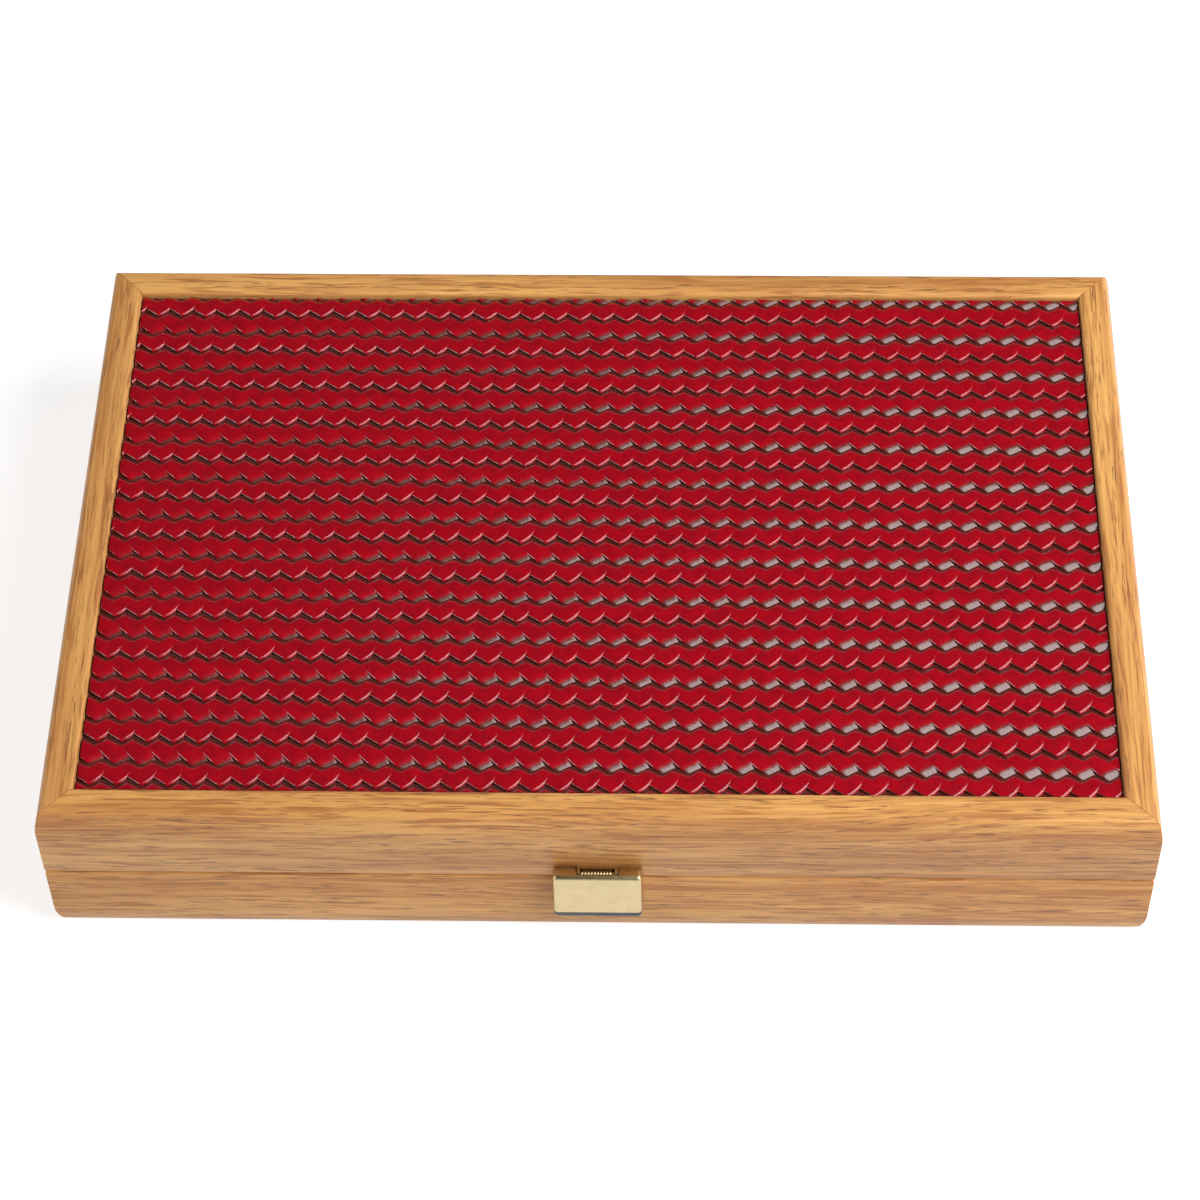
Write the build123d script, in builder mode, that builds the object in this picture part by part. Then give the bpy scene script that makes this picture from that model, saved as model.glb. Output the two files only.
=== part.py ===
from build123d import *
import math
import os

# A travel backgammon case: two moulded and mitred wooden halves with braided panels,
# joined by two butt hinges at the rear and held shut by a sprung clasp at the front.
# Lengths are in millimetres. +Z is up and the front, with the clasp, faces -Y.
# The origin is on the table, under the middle of the closed case.

# Case
case_length = 300.0
case_depth = 200.0
case_height = 52.0
parting_gap = 0.2  # between the closed halves

# Rail moulding
rail_width = 10.0
arris_across = 3.0  # the outer arris: a tight arc at the top that opens into a long one
arris_down = 8.5
arris_top_round = 1.8
inner_edge_round = 1.2
parting_chamfer = 1.0
inside_chamfer = 0.5

# Panel layers, counted inwards from the outer face of a half
braid_recess = 1.5
braid_thickness = 1.2
braid_edge_gap = 0.4
core_thickness = 3.5
groove_depth = 3.0
groove_end_gap = 0.4
field_thickness = 1.4
field_edge_gap = 0.2

# Playing field
points_in_row = 6
point_length = 112.0
point_spacing_gap = 3.0  # bare field between the bases of neighbouring points
point_inlay_depth = 0.6

# Checkers and dice
checkers_per_player = 15
checker_diameter = 26.0
checker_thickness = 8.0
checker_gap = 0.3
die_size = 12.0
die_edge = 1.2
# each die's place from the middle of the case, and its turn in degrees
first_die_right = 18.0
first_die_back = -9.0
first_die_turn = 17.0
second_die_right = 41.0
second_die_back = 4.0
second_die_turn = -32.0

# Butt hinges
hinge_inset = 60.0  # from an end of the case to the middle of the hinge
hinge_length = 26.0
knuckle_count = 3
knuckle_gap = 0.2
barrel_radius = 2.0
barrel_clearance = 0.3
hinge_pin_radius = 0.9
pin_clearance = 0.05
pin_overhang = 0.4
leaf_width = 8.4
leaf_thickness = 1.0
leaf_sink = 0.05
leaf_fit = 0.1
hinge_standoff = 0.15  # from the rear face out to the hinge axis
hinge_screw_pitch = 15.0
hinge_screw_setback = 5.4  # from the hinge axis to the screws

# Screws, all one size, plain and flush
screw_radius = 0.9
screw_length = 7.0
screw_fit = 0.03

# Clasp, measured out from the front face and up from the parting plane
clasp_width = 24.0
clasp_reach = 4.5
clasp_top = 5.6
clasp_bottom = -12.0
sheet_thickness = 0.8
flap_back_gap = 0.4
flap_edge_round = 1.2
notch_width = 11.7
notch_wall = 1.3  # strip of top flange left in front of the notch
clasp_pin_radius = 0.5
clasp_pin_out = 1.9
clasp_pin_up = 4.2
flap_heel_radius = 1.6  # the flange ends on this arc about the pin
ear_radius = 1.1
ear_side_gap = 0.35
foot_width = 20.0
foot_depth = 7.0
foot_screw_pitch = 12.0
foot_screw_in = 4.4
lip_length = 2.9

# Clasp spring
spring_wire = 0.5
spring_wire_sides = 6
spring_turns = 6
spring_gap_to_pin = 0.1
spring_end_gap = 0.25
spring_leg_down = 3.0
spring_leg_out = 0.85

# Catch on the base
catch_width = 14.0
catch_top = -2.4
catch_lip_gap = 0.3  # between the flap's lip and the nose that holds it
catch_nose_width = 8.0
catch_nose_out = 3.2
catch_nose_height = 4.2
catch_nose_edge = 0.7
catch_screw_pitch = 8.8
catch_screw_down = 4.6

# Worked-out places
parting_height = case_height / 2
inner_length = case_length - 2 * rail_width
inner_depth = case_depth - 2 * rail_width
core_level = braid_recess + braid_thickness
field_level = core_level + core_thickness
tray_level = field_level + field_thickness
rail_height = parting_height - parting_gap / 2
point_pitch = inner_depth / points_in_row
hinge_axis_y = case_depth / 2 + hinge_standoff
hinge_places = (hinge_inset - case_length / 2, case_length / 2 - hinge_inset)
knuckle_pitch = hinge_length / knuckle_count
leaf_gap = parting_gap / 2 + leaf_sink  # from the parting plane to a leaf's face
arris_rise = arris_down - arris_top_round
arris_run = arris_across - arris_top_round
# the long arc's radius and turn, so that both arcs are tangent to the faces and to each other
arris_side_round = arris_top_round + (arris_rise**2 + arris_run**2) / (2 * arris_run)
arris_turn = math.degrees(math.asin(arris_rise / (arris_side_round - arris_top_round)))

BASE, LID = -1, 1  # the way a half's outer face looks along Z
HALVES = {"base": BASE, "lid": LID}

os.makedirs("parts", exist_ok=True)


def save(piece, name):
    """Label a finished piece and write it under its name."""
    piece.label = name
    export_step(piece, f"parts/{name}.step")


def level(half, depth):
    """The height that lies a depth inside a half's outer face."""
    return parting_height + half * (parting_height - depth)


def from_parting(half, depth):
    """The height that lies a depth into a half from the parting plane."""
    return parting_height + half * depth


# Screws


def screw_heads(half, points, depth):
    """Places on a face that looks at the other half, each with its Z out of the wood."""
    height = from_parting(half, depth)
    return [Plane(origin=(x, y, height), z_dir=(0, 0, -half)).location for x, y in points]


def make_screws(places):
    """A group of screws, each with its head flush at its place."""
    with BuildPart() as group:
        with Locations(*places):
            Cylinder(screw_radius, screw_length, align=(Align.CENTER, Align.CENTER, Align.MAX))
    return group.part


def drill(places):
    """Screw holes, straight through the sheet or down into the wood being built."""
    with Locations(*places):
        Hole(screw_radius + screw_fit, depth=screw_length)


def hinge_screw_points(hinge_x):
    row = hinge_axis_y - hinge_screw_setback
    return [(hinge_x - hinge_screw_pitch / 2, row), (hinge_x + hinge_screw_pitch / 2, row)]


def all_hinge_screws(half):
    points = [point for hinge_x in hinge_places for point in hinge_screw_points(hinge_x)]
    return screw_heads(half, points, leaf_gap)


foot_row = -case_depth / 2 + foot_screw_in
bracket_screw_places = screw_heads(
    LID, [(-foot_screw_pitch / 2, foot_row), (foot_screw_pitch / 2, foot_row)], leaf_gap
)

# The clasp's own plane: X along the case, Y up from the parting plane, Z out of the front face
clasp_face = Plane(
    origin=(0, -case_depth / 2, parting_height), x_dir=(1, 0, 0), z_dir=(0, -1, 0)
)
# The same place seen from the side: X out of the front face, Y up
clasp_side = Plane(
    origin=(0, -case_depth / 2, parting_height), x_dir=(0, -1, 0), z_dir=(-1, 0, 0)
)
catch_screw_places = [
    (clasp_face.offset(sheet_thickness) * Location((x, catch_top - catch_screw_down)))
    for x in (-catch_screw_pitch / 2, catch_screw_pitch / 2)
]


# Wooden halves


def make_rail(half, outer_middle, inward, run):
    """One moulded rail of a half, mitred at both ends, before anything is let into it."""
    up = Vector(0, 0, half)
    inwards = Vector(*inward)
    along = inwards.cross(up)
    origin = Vector(*outer_middle, level(half, 0))
    with BuildPart() as rail:
        # the section: x runs inwards from the outer face, y is negative down from the top
        with BuildSketch(Plane(origin=origin, x_dir=inwards, z_dir=along)):
            with BuildLine():
                side_arc = JernArc(
                    (0, -arris_down), tangent=(0, 1), radius=arris_side_round, arc_size=-arris_turn
                )
                JernArc(
                    side_arc @ 1,
                    tangent=side_arc % 1,
                    radius=arris_top_round,
                    arc_size=arris_turn - 90,
                )
                Polyline(
                    (0, -arris_down),
                    (0, parting_chamfer - rail_height),
                    (parting_chamfer, -rail_height),
                    (rail_width - inside_chamfer, -rail_height),
                    (rail_width, inside_chamfer - rail_height),
                    (rail_width, -field_level),
                    (rail_width - groove_depth, -field_level),
                    (rail_width - groove_depth, -core_level),
                    (rail_width, -core_level),
                    (rail_width, -inner_edge_round),
                )
                RadiusArc(
                    (rail_width, -inner_edge_round),
                    (rail_width - inner_edge_round, 0),
                    inner_edge_round,
                )
                Line((rail_width - inner_edge_round, 0), (arris_across, 0))
            make_face()
        extrude(amount=run / 2, both=True)
        # the plan: a trapezium whose slanting ends are the mitres
        with BuildSketch(Plane(origin=origin, x_dir=along, z_dir=along.cross(inwards))):
            with BuildLine():
                Polyline(
                    (-run / 2, 0),
                    (run / 2, 0),
                    (run / 2 - rail_width, rail_width),
                    (rail_width - run / 2, rail_width),
                    close=True,
                )
            make_face()
        extrude(amount=case_height, both=True, mode=Mode.INTERSECT)
    return rail.part


def make_rear_rail(half):
    """The rear rail, with seats for the leaves, barrels and screws of both hinges."""
    seat_length = hinge_length + 2 * leaf_fit
    seat_width = leaf_width + leaf_fit
    with BuildPart() as rail:
        add(make_rail(half, (0, case_depth / 2), (0, -1, 0), case_length))
        with BuildSketch(Plane.XY.offset(parting_height)):
            with Locations(*[(x, hinge_axis_y - seat_width / 2) for x in hinge_places]):
                Rectangle(seat_length, seat_width)
        extrude(amount=half * (leaf_gap + leaf_thickness), mode=Mode.SUBTRACT)
        with Locations(*[(x, hinge_axis_y, parting_height) for x in hinge_places]):
            Cylinder(
                barrel_radius + barrel_clearance,
                hinge_length + 2 * (pin_overhang + barrel_clearance),
                rotation=(0, 90, 0),
                mode=Mode.SUBTRACT,
            )
        drill(all_hinge_screws(half))
    return rail.part


def make_lid_front_rail():
    """The lid's front rail, with the seat of the clasp bracket's foot."""
    with BuildPart() as rail:
        add(make_rail(LID, (0, -case_depth / 2), (0, 1, 0), case_length))
        with BuildSketch(Plane.XY.offset(parting_height)):
            with Locations((0, (foot_depth + leaf_fit - case_depth) / 2)):
                Rectangle(foot_width + 2 * leaf_fit, foot_depth + leaf_fit)
        extrude(amount=leaf_gap + sheet_thickness, mode=Mode.SUBTRACT)
        drill(bracket_screw_places)
    return rail.part


def make_base_front_rail():
    """The base's front rail, drilled for the screws of the catch."""
    with BuildPart() as rail:
        add(make_rail(BASE, (0, -case_depth / 2), (0, 1, 0), case_length))
        drill(catch_screw_places)
    return rail.part


def make_side_rail(half, side):
    return make_rail(half, (side * case_length / 2, 0), (-side, 0, 0), case_depth)


# Panels


def make_sheet(half, depth, length, width, thickness):
    """A flat rectangular layer of a half's panel."""
    with BuildPart() as sheet:
        with BuildSketch(Plane.XY.offset(level(half, depth))):
            Rectangle(length, width)
        extrude(amount=-half * thickness)
    return sheet.part


def make_braided_inlay(half):
    return make_sheet(
        half,
        braid_recess,
        inner_length - 2 * braid_edge_gap,
        inner_depth - 2 * braid_edge_gap,
        braid_thickness,
    )


def make_core_panel(half):
    return make_sheet(
        half,
        core_level,
        inner_length + 2 * (groove_depth - groove_end_gap),
        inner_depth + 2 * (groove_depth - groove_end_gap),
        core_thickness,
    )


def point_outlines(half, shade):
    """The outlines of a half's light (0) or dark (1) points, on the playing field."""
    foot = inner_length / 2 - field_edge_gap
    half_base = (point_pitch - point_spacing_gap) / 2
    with BuildSketch(Plane.XY.offset(level(half, tray_level))) as outlines:
        for side in (-1, 1):
            for row in range(points_in_row):
                if (row + (side > 0) + (half == LID)) % 2 != shade:
                    continue
                middle = -inner_depth / 2 + (row + 0.5) * point_pitch
                with BuildLine():
                    Polyline(
                        (side * foot, middle - half_base),
                        (side * (foot - point_length), middle),
                        (side * foot, middle + half_base),
                        close=True,
                    )
                make_face()
    return outlines.sketch


def make_points(half, shade):
    """One colour's triangular inlays, flush with the playing field."""
    with BuildPart() as points:
        extrude(point_outlines(half, shade), amount=half * point_inlay_depth)
    return points.part


def make_field_board(half):
    """The inside sheet of a half, with pockets for its points."""
    with BuildPart() as field:
        add(
            make_sheet(
                half,
                field_level,
                inner_length - 2 * field_edge_gap,
                inner_depth - 2 * field_edge_gap,
                field_thickness,
            )
        )
        for shade in (0, 1):
            pockets = point_outlines(half, shade)
            extrude(pockets, amount=half * point_inlay_depth, mode=Mode.SUBTRACT)
    return field.part


# Checkers and dice


def make_checkers(side):
    """One player's checkers, stored in rows along the front (-1) or the rear (1) of the base."""
    pitch = checker_diameter + checker_gap
    in_row = int(inner_length // pitch)
    places = []
    for number in range(checkers_per_player):
        row, column = divmod(number, in_row)
        x = side * (inner_length / 2 - checker_gap - checker_diameter / 2 - column * pitch)
        y = side * (inner_depth / 2 - (row + 0.5) * point_pitch)
        places.append((x, y))
    with BuildPart() as checkers:
        with BuildSketch(Plane.XY.offset(tray_level)):
            with Locations(*places):
                Circle(checker_diameter / 2)
        extrude(amount=checker_thickness)
    return checkers.part


def make_dice():
    """Two cubes with bevelled edges."""
    with BuildPart() as dice:
        for x, y, turn in (
            (first_die_right, first_die_back, first_die_turn),
            (second_die_right, second_die_back, second_die_turn),
        ):
            with Locations(Location((x, y, tray_level + die_size / 2), (0, 0, turn))):
                Box(die_size, die_size, die_size)
        chamfer(dice.edges(), length=die_edge)
    return dice.part


# Hinges


def make_hinge_leaf(half, hinge_x):
    """A leaf with every second knuckle of the barrel; the base's leaf has the end knuckles."""
    centres = [
        (hinge_x - hinge_length / 2 + (number + 0.5) * knuckle_pitch, hinge_axis_y, parting_height)
        for number in range(knuckle_count)
    ]
    first_own = 0 if half == BASE else 1
    own = centres[first_own::2]
    others = centres[1 - first_own :: 2]
    with BuildPart() as leaf:
        with BuildSketch(Plane.XY.offset(from_parting(half, leaf_gap))):
            with Locations((hinge_x, hinge_axis_y - leaf_width / 2)):
                Rectangle(hinge_length, leaf_width)
        extrude(amount=half * leaf_thickness)
        with Locations(*others):
            Cylinder(
                barrel_radius + barrel_clearance,
                knuckle_pitch + knuckle_gap,
                rotation=(0, 90, 0),
                mode=Mode.SUBTRACT,
            )
        with Locations(*own):
            Cylinder(barrel_radius, knuckle_pitch - knuckle_gap, rotation=(0, 90, 0))
        with Locations((hinge_x, hinge_axis_y, parting_height)):
            Cylinder(
                hinge_pin_radius + pin_clearance,
                2 * hinge_length,
                rotation=(0, 90, 0),
                mode=Mode.SUBTRACT,
            )
        drill(screw_heads(half, hinge_screw_points(hinge_x), leaf_gap))
    return leaf.part


def make_hinge_pins():
    with BuildPart() as pins:
        with Locations(*[(x, hinge_axis_y, parting_height) for x in hinge_places]):
            Cylinder(hinge_pin_radius, hinge_length + 2 * pin_overhang, rotation=(0, 90, 0))
    return pins.part


# Clasp


def make_clasp_bracket():
    """Carries the clasp pin in two ears; its foot is let into the lid's parting face."""
    ears_apart = notch_width - 2 * ear_side_gap
    with BuildPart() as bracket:
        with BuildSketch(clasp_side):
            with BuildLine():
                Polyline(
                    (0, leaf_gap),
                    (sheet_thickness, leaf_gap),
                    (sheet_thickness, clasp_pin_up + ear_radius),
                    (0, clasp_pin_up + ear_radius),
                    close=True,
                )
            make_face()
            with BuildLine():
                Polyline(
                    (0, clasp_pin_up - ear_radius),
                    (clasp_pin_out, clasp_pin_up - ear_radius),
                    (clasp_pin_out, clasp_pin_up + ear_radius),
                    (0, clasp_pin_up + ear_radius),
                    close=True,
                )
            make_face()
            with Locations((clasp_pin_out, clasp_pin_up)):
                Circle(ear_radius)
        extrude(amount=ears_apart / 2, both=True)
        with BuildSketch(clasp_face.offset(sheet_thickness)):
            with Locations((0, clasp_pin_up)):
                Rectangle(ears_apart - 2 * sheet_thickness, 4 * ear_radius)
        extrude(amount=clasp_reach, mode=Mode.SUBTRACT)
        with BuildSketch(Plane.XY.offset(from_parting(LID, leaf_gap))):
            with Locations((0, (foot_depth - case_depth) / 2)):
                Rectangle(foot_width, foot_depth)
            with Locations((0, (-sheet_thickness - case_depth) / 2)):
                Rectangle(ears_apart, sheet_thickness)
        extrude(amount=sheet_thickness)
        with BuildSketch(clasp_side):
            with Locations((clasp_pin_out, clasp_pin_up)):
                Circle(clasp_pin_radius + pin_clearance)
        extrude(amount=clasp_width, both=True, mode=Mode.SUBTRACT)
        drill(bracket_screw_places)
    return bracket.part


def make_clasp_pin():
    with BuildPart() as pin:
        with BuildSketch(clasp_side):
            with Locations((clasp_pin_out, clasp_pin_up)):
                Circle(clasp_pin_radius)
        extrude(amount=clasp_width / 2 - pin_clearance, both=True)
    return pin.part


def helix_point(radius, pitch, angle):
    """A place on the coil and the coil's direction there; the angle is in radians."""
    along = pitch * angle / (2 * math.pi)
    place = Vector(
        along,
        -case_depth / 2 - clasp_pin_out - radius * math.cos(angle),
        parting_height + clasp_pin_up + radius * math.sin(angle),
    )
    run = Vector(pitch / (2 * math.pi), radius * math.sin(angle), radius * math.cos(angle))
    return place, run.normalized()


def draw_biarc(start, start_run, end, end_run):
    """Two arcs that leave and arrive along the given directions."""
    chord = end - start
    both_runs = start_run + end_run
    bend = 2 * (1 - start_run.dot(end_run))
    lean = chord.dot(both_runs)
    reach = (math.sqrt(lean * lean + bend * chord.dot(chord)) - lean) / bend
    first_control = start + start_run * reach
    last_control = end - end_run * reach
    joint = (first_control + last_control) * 0.5
    joint_run = (last_control - first_control).normalized()
    TangentArc(start, joint, tangent=start_run)
    TangentArc(joint, end, tangent=joint_run)


def make_clasp_spring():
    """A torsion spring round the clasp pin, with a leg on the bracket and one under the flap's bend."""
    radius = clasp_pin_radius + spring_gap_to_pin + spring_wire / 2
    room = notch_width - 2 * (ear_side_gap + sheet_thickness + spring_end_gap) - spring_wire
    pitch = room / spring_turns
    print("clasp spring: gap between its turns", round(pitch - spring_wire, 3))
    half_turns = 2 * spring_turns
    first_angle = -math.pi * spring_turns
    with BuildPart() as spring:
        with BuildLine() as path:
            place, run = helix_point(radius, pitch, first_angle)
            Line(place - run * spring_leg_down, place)
            for number in range(half_turns):
                next_place, next_run = helix_point(
                    radius, pitch, first_angle + (number + 1) * math.pi
                )
                draw_biarc(place, run, next_place, next_run)
                place, run = next_place, next_run
            Line(place, place + run * spring_leg_out)
        with BuildSketch(path.line ^ 0):
            RegularPolygon(spring_wire / 2, spring_wire_sides)
        sweep(clean=False)
    return spring.part


def make_clasp_flap():
    """A pressed cover, open at the back, that turns on the pin and hooks under the catch."""
    height = clasp_top - clasp_bottom
    with BuildPart() as flap:
        with BuildSketch(clasp_face.offset(flap_back_gap)):
            with Locations((0, (clasp_top + clasp_bottom) / 2)):
                Rectangle(clasp_width, height)
        extrude(amount=clasp_reach - flap_back_gap)
        fillet(flap.faces().sort_by(Axis.Y)[0].edges(), radius=flap_edge_round)
        offset(amount=-sheet_thickness, openings=flap.faces().sort_by(Axis.Y)[-1])
        # the notch over the spring
        with BuildSketch(Plane.XY.offset(parting_height + clasp_pin_up)):
            notch_depth = clasp_reach - notch_wall
            with Locations((0, -case_depth / 2 - notch_depth / 2)):
                Rectangle(notch_width, notch_depth)
        extrude(amount=height, mode=Mode.SUBTRACT)
        # the heel: what lies behind the pin and above it stays inside an arc about the pin
        with BuildSketch(clasp_side):
            with Locations((clasp_pin_out / 2, clasp_pin_up + height / 2)):
                Rectangle(clasp_pin_out, height)
            with Locations((clasp_pin_out, clasp_pin_up)):
                Circle(flap_heel_radius, mode=Mode.SUBTRACT)
        extrude(amount=clasp_width, both=True, mode=Mode.SUBTRACT)
        # the lip: the bottom's sheet stops short of the base
        with BuildSketch(Plane.XY.offset(parting_height + clasp_bottom)):
            lip_cut = clasp_reach - lip_length
            with Locations((0, -case_depth / 2 - lip_cut / 2)):
                Rectangle(2 * clasp_width, lip_cut)
        extrude(amount=sheet_thickness + flap_edge_round, mode=Mode.SUBTRACT)
        with BuildSketch(clasp_side):
            with Locations((clasp_pin_out, clasp_pin_up)):
                Circle(clasp_pin_radius + pin_clearance)
        extrude(amount=clasp_width, both=True, mode=Mode.SUBTRACT)
    return flap.part


def make_clasp_catch():
    """The plate on the base, with the ramped nose that the flap's lip snaps over and hooks under."""
    nose_bottom = clasp_bottom + sheet_thickness + catch_lip_gap
    with BuildPart() as catch:
        with BuildSketch(clasp_face):
            with Locations((0, (catch_top + nose_bottom) / 2)):
                Rectangle(catch_width, catch_top - nose_bottom)
        extrude(amount=sheet_thickness)
        fillet(catch.edges().filter_by(Axis.Y), radius=sheet_thickness)
        with BuildSketch(clasp_side):
            with BuildLine():
                Polyline(
                    (0, nose_bottom),
                    (catch_nose_out, nose_bottom),
                    (catch_nose_out, nose_bottom + catch_nose_edge),
                    (0, nose_bottom + catch_nose_height),
                    close=True,
                )
            make_face()
        extrude(amount=catch_nose_width / 2, both=True)
        drill(catch_screw_places)
    return catch.part


# Write every piece

for name, half in HALVES.items():
    save(make_side_rail(half, -1), f"{name}_left_rail")
    save(make_side_rail(half, 1), f"{name}_right_rail")
    save(make_rear_rail(half), f"{name}_rear_rail")
    save(make_core_panel(half), f"{name}_core_panel")
    save(make_braided_inlay(half), f"{name}_braided_inlay")
    save(make_field_board(half), f"{name}_field_board")
    save(make_points(half, 0), f"{name}_light_points")
    save(make_points(half, 1), f"{name}_dark_points")
    save(make_hinge_leaf(half, hinge_places[0]), f"{name}_hinge_leaf_left")
    save(make_hinge_leaf(half, hinge_places[1]), f"{name}_hinge_leaf_right")
    save(make_screws(all_hinge_screws(half)), f"{name}_hinge_screws")

save(make_base_front_rail(), "base_front_rail")
save(make_lid_front_rail(), "lid_front_rail")
save(make_hinge_pins(), "hinge_pins")
save(make_clasp_bracket(), "clasp_bracket")
save(make_screws(bracket_screw_places), "bracket_screws")
save(make_clasp_pin(), "clasp_pin")
save(make_clasp_spring(), "clasp_spring")
save(make_clasp_flap(), "clasp_flap")
save(make_clasp_catch(), "clasp_catch")
save(make_screws(catch_screw_places), "catch_screws")
save(make_checkers(-1), "light_checkers")
save(make_checkers(1), "dark_checkers")
save(make_dice(), "dice")
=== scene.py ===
"""Travel backgammon case: the visible pieces and their finishes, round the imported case."""

import math
import random
from contextlib import contextmanager

import bmesh
import bpy
from bpy.props import FloatProperty, FloatVectorProperty, PointerProperty
from mathutils import Matrix, Vector


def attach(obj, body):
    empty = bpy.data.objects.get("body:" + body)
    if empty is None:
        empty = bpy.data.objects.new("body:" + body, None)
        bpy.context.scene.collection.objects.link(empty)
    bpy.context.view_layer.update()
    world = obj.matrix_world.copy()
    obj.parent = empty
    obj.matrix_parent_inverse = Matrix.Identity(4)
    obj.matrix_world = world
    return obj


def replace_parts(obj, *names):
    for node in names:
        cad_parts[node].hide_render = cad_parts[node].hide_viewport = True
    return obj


bl_info = {
    "name": "Travel backgammon case",
    "version": (1, 0, 0),
    "blender": (4, 5, 0),
    "location": "View3D > Sidebar > Backgammon",
    "description": "Builds the rails, braid, clasp, hinges, field and pieces of the case",
    "category": "Object",
}

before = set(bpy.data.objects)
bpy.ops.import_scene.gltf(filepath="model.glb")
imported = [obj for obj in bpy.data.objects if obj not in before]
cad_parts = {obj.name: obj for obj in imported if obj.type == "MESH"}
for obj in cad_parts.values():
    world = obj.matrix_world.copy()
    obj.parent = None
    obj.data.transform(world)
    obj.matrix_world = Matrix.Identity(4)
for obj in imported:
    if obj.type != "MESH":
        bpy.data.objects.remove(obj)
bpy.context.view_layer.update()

MM = 0.001
SEED = 7
QUARTER = math.pi / 2
CORNERS = ((-1, -1), (1, -1), (1, 1), (-1, 1))

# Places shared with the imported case, in millimetres
CASE_LENGTH = 300.0
CASE_DEPTH = 200.0
PARTING_HEIGHT = 26.0
HALF_HEIGHT = 25.9
RAIL_WIDTH = 10.0
INNER_LENGTH = CASE_LENGTH - 2 * RAIL_WIDTH
INNER_DEPTH = CASE_DEPTH - 2 * RAIL_WIDTH
GROOVE_TOP = 2.7
GROOVE_FOOT = 6.2
GROOVE_DEPTH = 3.0
BRAID_BACK_DEPTH = 2.7
BRAID_EDGE_GAP = 0.4
FRONT_FACE = -CASE_DEPTH / 2
TRAY_LEVEL = 7.6
HINGE_AXIS_Y = 100.15
HINGE_PLACES = (-90.0, 90.0)
HINGE_LENGTH = 26.0
LEAF_GAP = 0.15
LEAF_SHEET = 1.0
KNUCKLE_RADIUS = 2.0
CLASP_WIDTH = 24.0
CLASP_REACH = 4.5
CLASP_TOP = 5.6
CLASP_BOTTOM = -12.0
CLASP_SHEET = 0.8
CLASP_LIP_DROP = 1.4
CLASP_LIP_HEIGHT = 2.6
CLASP_PIN_OUT = 1.9
CLASP_PIN_UP = 4.2
CLASP_NOTCH_WIDTH = 11.7
HALVES = {"base": -1, "lid": 1}

# Eased ends of the rails at their mitres
MITRE_EASE = 0.12
MITRE_GAP = 0.06

# How the photograph was taken: focal length and frame in pixels, place in metres, turns in degrees
FRAME_PIXELS = 1200.0
FOCAL_PIXELS = 3372.15
SENSOR_WIDTH = 36.0
CAMERA_PLACE = (0.0209, -0.5983, 0.7923)
CAMERA_YAW, CAMERA_PITCH, CAMERA_ROLL = -2.1344, 52.2527, -1.3091


# Node trees


def add_node(tree, kind, sockets=None, **settings):
    """A shader node with its settings, whose inputs get plain values or links."""
    made = tree.nodes.new(f"ShaderNode{kind}")
    for key, value in settings.items():
        setattr(made, key, value)
    for key, value in (sockets or {}).items():
        socket = made.inputs[key]
        if isinstance(value, bpy.types.NodeSocket):
            tree.links.new(value, socket)
        elif socket.type == "RGBA":
            socket.default_value = (*value[:3], 1.0)
        else:
            socket.default_value = value
    return made


def scaled(tree, place, scale, offset=(0, 0, 0)):
    """A place scaled along each direction, or alike along all three, and shifted."""
    scale = scale if isinstance(scale, tuple) else (scale,) * 3
    sockets = {"Vector": place, "Scale": scale, "Location": offset}
    return add_node(tree, "Mapping", sockets).outputs["Vector"]


def noise(tree, place, scale, detail=2.0, roughness=0.5, offset=(0, 0, 0)):
    place = scaled(tree, place, scale, offset)
    sockets = {"Vector": place, "Scale": 1.0, "Detail": detail, "Roughness": roughness}
    return add_node(tree, "TexNoise", sockets).outputs["Fac"]


def spread(tree, value, low, high, out_low=0.0, out_high=1.0, kind="SMOOTHSTEP"):
    """A value remapped from one range to another and clamped."""
    sockets = {"Value": value, "From Min": low, "From Max": high, "To Min": out_low}
    sockets["To Max"] = out_high
    return add_node(tree, "MapRange", sockets, interpolation_type=kind).outputs["Result"]


def maths(tree, operation, first, second):
    return add_node(tree, "Math", {0: first, 1: second}, operation=operation).outputs[0]


def weighed(tree, *layers):
    """Values added up, each times its share."""
    total = None
    for value, share in layers:
        part = maths(tree, "MULTIPLY", value, share)
        total = part if total is None else maths(tree, "ADD", total, part)
    return total


def blend_colours(tree, factor, first, second):
    sockets = {0: factor, 6: first, 7: second}
    return add_node(tree, "Mix", sockets, data_type="RGBA").outputs[2]


def new_group(name, values):
    """A shader node group that works from a place and some values; returns it and its inputs."""
    group = bpy.data.node_groups.new(name, "ShaderNodeTree")
    sockets = group.interface
    sockets.new_socket(name="Vector", in_out="INPUT", socket_type="NodeSocketVector")
    for key, value in values.items():
        kind = "NodeSocketFloat" if isinstance(value, float) else "NodeSocketColor"
        made = sockets.new_socket(name=key, in_out="INPUT", socket_type=kind)
        made.default_value = value
    return group, group.nodes.new("NodeGroupInput").outputs


def end_group(group, colour, roughness, height):
    """Gives a group its outputs."""
    results = {"Color": colour, "Roughness": roughness, "Height": height}
    for key in results:
        kind = "NodeSocketColor" if key == "Color" else "NodeSocketFloat"
        group.interface.new_socket(name=key, in_out="OUTPUT", socket_type=kind)
    end = group.nodes.new("NodeGroupOutput")
    for key, value in results.items():
        group.links.new(value, end.inputs[key])
    return group


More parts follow.
